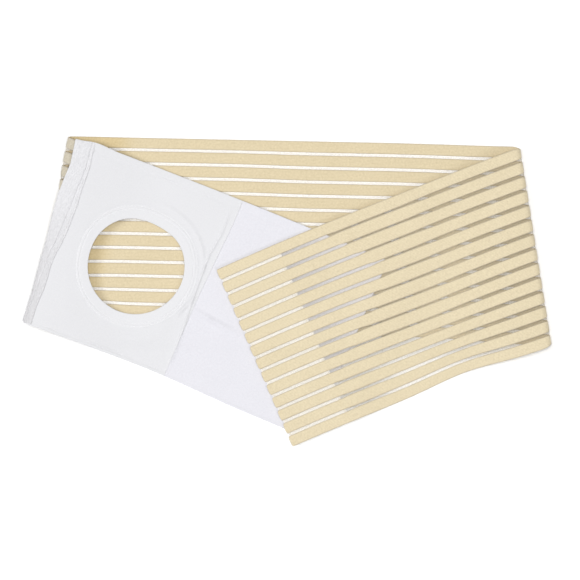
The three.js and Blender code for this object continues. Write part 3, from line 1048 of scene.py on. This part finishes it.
def clothFinish(name, look):
    material = bpy.data.materials.new(name)
    material.use_nodes = True
    tree = material.node_tree
    shader = tree.nodes["Principled BSDF"]
    flatMap = tree.nodes.new("ShaderNodeUVMap")
    flatMap.uv_map = "flat"
    place = tree.nodes.new("ShaderNodeTexCoord")
    weave, tone = tree.nodes.new("ShaderNodeGroup"), tree.nodes.new("ShaderNodeGroup")
    weave.node_tree, tone.node_tree = weaveGroup, toneGroup
    tree.links.new(flatMap.outputs[0], weave.inputs["Map"])
    setInputs(weave, {"Pitch along": look["pitchAlong"], "Pitch across": look["pitchAcross"],
                      "Unevenness": look["uneven"]})
    tree.links.new(place.outputs["Object"], tone.inputs["Place"])
    tree.links.new(weave.outputs["Height"], tone.inputs["Weave"])
    setInputs(tone, {"Shade": (*look["shade"], 1), "Light": (*look["light"], 1), "Broad": look["broad"],
                     "Fine": look["fine"]})
    colour = tone.outputs["Color"]
    if "paintedShadeByFold" in look:
        fold = look["paintedShadeByFold"]
        masks = tree.nodes.new("ShaderNodeGroup")
        masks.node_tree = placeGroup
        tree.links.new(flatMap.outputs[0], masks.inputs["Map"])
        setInputs(masks, {"First rib": ribCentre(0), "Pitch": ribPitch, "Half width": ribWidth / 2,
                          "Fold": leftEdge, "Lean": tanLeft, "Far": fold["far"], "Near": fold["near"]})
        # Painted shade along each rib's edges
        colour = tinted(tree, colour, masks.outputs["Painted rim shade"], look["rim"])
        # Painted shade near the left fold
        colour = tinted(tree, colour, masks.outputs["Painted shade by fold"], fold["tint"])
    # Painted shade: the tape is tinted darker towards its lower end
    if "fade" in look:
        fade = look["fade"]
        sides, reach = tree.nodes.new("ShaderNodeSeparateXYZ"), tree.nodes.new("ShaderNodeMapRange")
        tree.links.new(flatMap.outputs[0], sides.inputs[0])
        tree.links.new(sides.outputs[1], reach.inputs["Value"])
        setInputs(reach, {"From Min": fade["start"] * mm, "From Max": fade["end"] * mm})
        colour = tinted(tree, colour, reach.outputs["Result"], fade["tint"])
    tree.links.new(colour, shader.inputs["Base Color"])
    rough = maths(tree, "MULTIPLY_ADD", tone.outputs["Grain"], 0.2, look["rough"] - 0.1)
    tree.links.new(rough, shader.inputs["Roughness"])
    height = maths(tree, "MULTIPLY", weave.outputs["Height"], look["weaveShare"])
    height = maths(tree, "MULTIPLY_ADD", tone.outputs["Grain"], 1 - look["weaveShare"], height)
    bump = tree.nodes.new("ShaderNodeBump")
    setInputs(bump, {"Strength": look["bump"], "Distance": look["depth"] * mm})
    tree.links.new(height, bump.inputs["Height"])
    tree.links.new(bump.outputs["Normal"], shader.inputs["Normal"])
    setInputs(shader, {**clothShine, "Sheen Weight": look["sheen"], "Alpha": look.get("alpha", 1.0)})
    return material


# Pitches and depths are in mm. Both faces of the ribs have one weave, and both threads have one twist.
# The rim tint is painted shade: a darker, greyer line along both edges of each rib.
ribWeave = {"pitchAlong": 0.95, "pitchAcross": 1.3, "uneven": 0.35, "broad": 22.0, "fine": 620.0,
            "rough": 0.85, "depth": 0.3, "weaveShare": 0.6, "sheen": 0.15, "rim": (0.80, 0.80, 0.84)}
threadTwist = {"pitchAlong": 0.5, "pitchAcross": 0.25, "uneven": 0.2, "broad": 60.0, "fine": 1500.0,
               "rough": 0.55, "bump": 0.4, "depth": 0.05, "weaveShare": 0.6, "sheen": 0.0}
looks = {
    # ribCotton's fold tint is painted shade: the back run by the hole's left edge, under the raised panel, is
    # darker and warmer.
    "ribCotton": {**ribWeave, "shade": (0.53, 0.439, 0.272), "light": (0.764, 0.659, 0.458), "bump": 0.6,
                  "paintedShadeByFold": {"far": 62.0, "near": 38.0, "tint": (0.95, 0.90, 0.77)}},
    # ribInside's fold tint is painted shade: the band's outer face is darker and greyer where it rolls over
    # the left fold.
    "ribInside": {**ribWeave, "shade": (0.553, 0.467, 0.304), "light": (0.805, 0.709, 0.511), "bump": 0.7,
                  "paintedShadeByFold": {"far": 12.0, "near": -2.0, "tint": (0.78, 0.82, 0.94)}},
    "netNylon": {"shade": (0.80, 0.71, 0.56), "light": (0.84, 0.75, 0.60), "alpha": 0.34,
                 "pitchAlong": 0.6, "pitchAcross": 0.6, "uneven": 0.2, "broad": 40.0, "fine": 900.0,
                 "rough": 0.5, "bump": 0.2, "depth": 0.05, "weaveShare": 0.5, "sheen": 0.0},
    "panelCloth": {"shade": (0.624, 0.624, 0.643), "light": (0.713, 0.713, 0.729),
                   "pitchAlong": 0.7, "pitchAcross": 0.7, "uneven": 0.4, "broad": 18.0, "fine": 800.0,
                   "rough": 0.9, "bump": 0.35, "depth": 0.12, "weaveShare": 0.5, "sheen": 0.15},
    "loopPile": {"shade": (0.633, 0.628, 0.672), "light": (0.739, 0.735, 0.773),
                 "pitchAlong": 1.0, "pitchAcross": 0.8, "uneven": 1.6, "broad": 30.0, "fine": 620.0,
                 "rough": 0.95, "bump": 0.55, "depth": 0.25, "weaveShare": 0.2, "sheen": 0.3},
    "ringCloth": {"shade": (0.638, 0.638, 0.657), "light": (0.732, 0.732, 0.747),
                  "pitchAlong": 0.6, "pitchAcross": 0.6, "uneven": 0.3, "broad": 30.0, "fine": 900.0,
                  "rough": 0.85, "bump": 0.35, "depth": 0.1, "weaveShare": 0.5, "sheen": 0.1},
    "tapeTwill": {"shade": (0.612, 0.609, 0.63), "light": (0.768, 0.766, 0.784),
                  # painted shade: the fade darkens the tape towards its lower end
                  "fade": {"start": 30, "end": -86, "tint": (0.89, 0.885, 0.88)},
                  "pitchAlong": 1.05, "pitchAcross": 1.2, "uneven": 0.6, "broad": 60.0, "fine": 420.0,
                  "rough": 0.8, "bump": 0.9, "depth": 0.35, "weaveShare": 0.6, "sheen": 0.1},
    "hookNylon": {"shade": (0.91, 0.90, 0.87), "light": (0.96, 0.95, 0.93),
                  "pitchAlong": 1.4, "pitchAcross": 1.4, "uneven": 0.1, "broad": 30.0, "fine": 700.0,
                  "rough": 0.6, "bump": 0.8, "depth": 0.4, "weaveShare": 0.8, "sheen": 0.0},
    "whiteThread": {**threadTwist, "shade": (0.74, 0.74, 0.75), "light": (0.84, 0.84, 0.85)},
    "creamThread": {**threadTwist, "shade": (0.66, 0.56, 0.38), "light": (0.76, 0.67, 0.49)},
}
finishes = {name: clothFinish(name, look) for name, look in looks.items()}


# Floor
bpy.ops.object.select_all(action="DESELECT")
bpy.ops.mesh.primitive_plane_add(size=6, location=(0, 0, -0.0002))
floor = bpy.context.object
floor.name = "floor"
floorPaper = bpy.data.materials.new("floorPaper")
floorPaper.use_nodes = True
floorPaper.node_tree.nodes["Principled BSDF"].inputs["Base Color"].default_value = (0.97, 0.97, 0.97, 1)
floorPaper.node_tree.nodes["Principled BSDF"].inputs["Roughness"].default_value = 0.9
floor.data.materials.append(floorPaper)

pieceList = [
    (ribs, "ribCotton", "webbing", "elastic_webbing"),
    (netCross, "netNylon", "webbing", None),
    (netLong, "netNylon", "webbing", None),
    (stomaCloth, "panelCloth", "panel", "stoma_panel"),
    (ringPiece, "ringCloth", "ring", "stoma_ring"),
    (loopCloth, "loopPile", "loop", "loop_panel"),
    (tapePiece, "tapeTwill", "tape", "joining_tape"),
    (hookPiece, "hookNylon", "hook", "hook_tape"),
    (tapeStitches, "whiteThread", "tape", None),
    (ringStitches, "whiteThread", "ring", None),
    (seamStitches, "whiteThread", "panel", None),
    (hookStitches, "creamThread", "webbing", None),
]
for piece, finish, slotName, node in pieceList:
    piece.data.materials.append(finishes[finish])
    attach(piece, "root")
    if node:
        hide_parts(node)
ribs.data.materials.append(finishes["ribInside"])

# Studio: an even white room with soft boxes overhead, from the left and from the right. The camera looks
# straight down from far above with a long lens, so that the view is nearly flat.
print("lighting")
studio = {
    "room": 0.34,
    "turn": 1.2,
    "centre": (0.00068, 0.00216),
    "frameWidth": 0.5394,
    "cameraHeight": 6.0,
}
softBoxes = [
    {"name": "overhead", "place": (0.0, 0.1, 2.5), "size": 1.0, "watts": 38.5},
    {"name": "fromLeft", "place": (-3.0, 0.45, 2.6), "size": 1.3, "watts": 54.0},
    {"name": "fromRight", "place": (2.0, -1.9, 2.6), "size": 1.4, "watts": 24.0},
]
world = bpy.data.worlds.new("room")
world.use_nodes = True
world.node_tree.nodes["Background"].inputs["Color"].default_value = (1, 1, 1, 1)
world.node_tree.nodes["Background"].inputs["Strength"].default_value = studio["room"]
bpy.context.scene.world = world
for box in softBoxes:
    bpy.ops.object.light_add(type="AREA", location=box["place"])
    light = bpy.context.object
    light.name = box["name"]
    light.data.size = box["size"]
    light.data.energy = box["watts"]
    light.rotation_euler = (-mathutils.Vector(box["place"])).to_track_quat("-Z", "Y").to_euler()

cameraPlace = (*studio["centre"], studio["cameraHeight"])
bpy.ops.object.camera_add(location=cameraPlace, rotation=(0, 0, math.radians(studio["turn"])))
camera = bpy.context.object
camera.data.lens = camera.data.sensor_width * studio["cameraHeight"] / studio["frameWidth"]
bpy.context.scene.camera = camera
bpy.context.scene.view_settings.view_transform = "Standard"
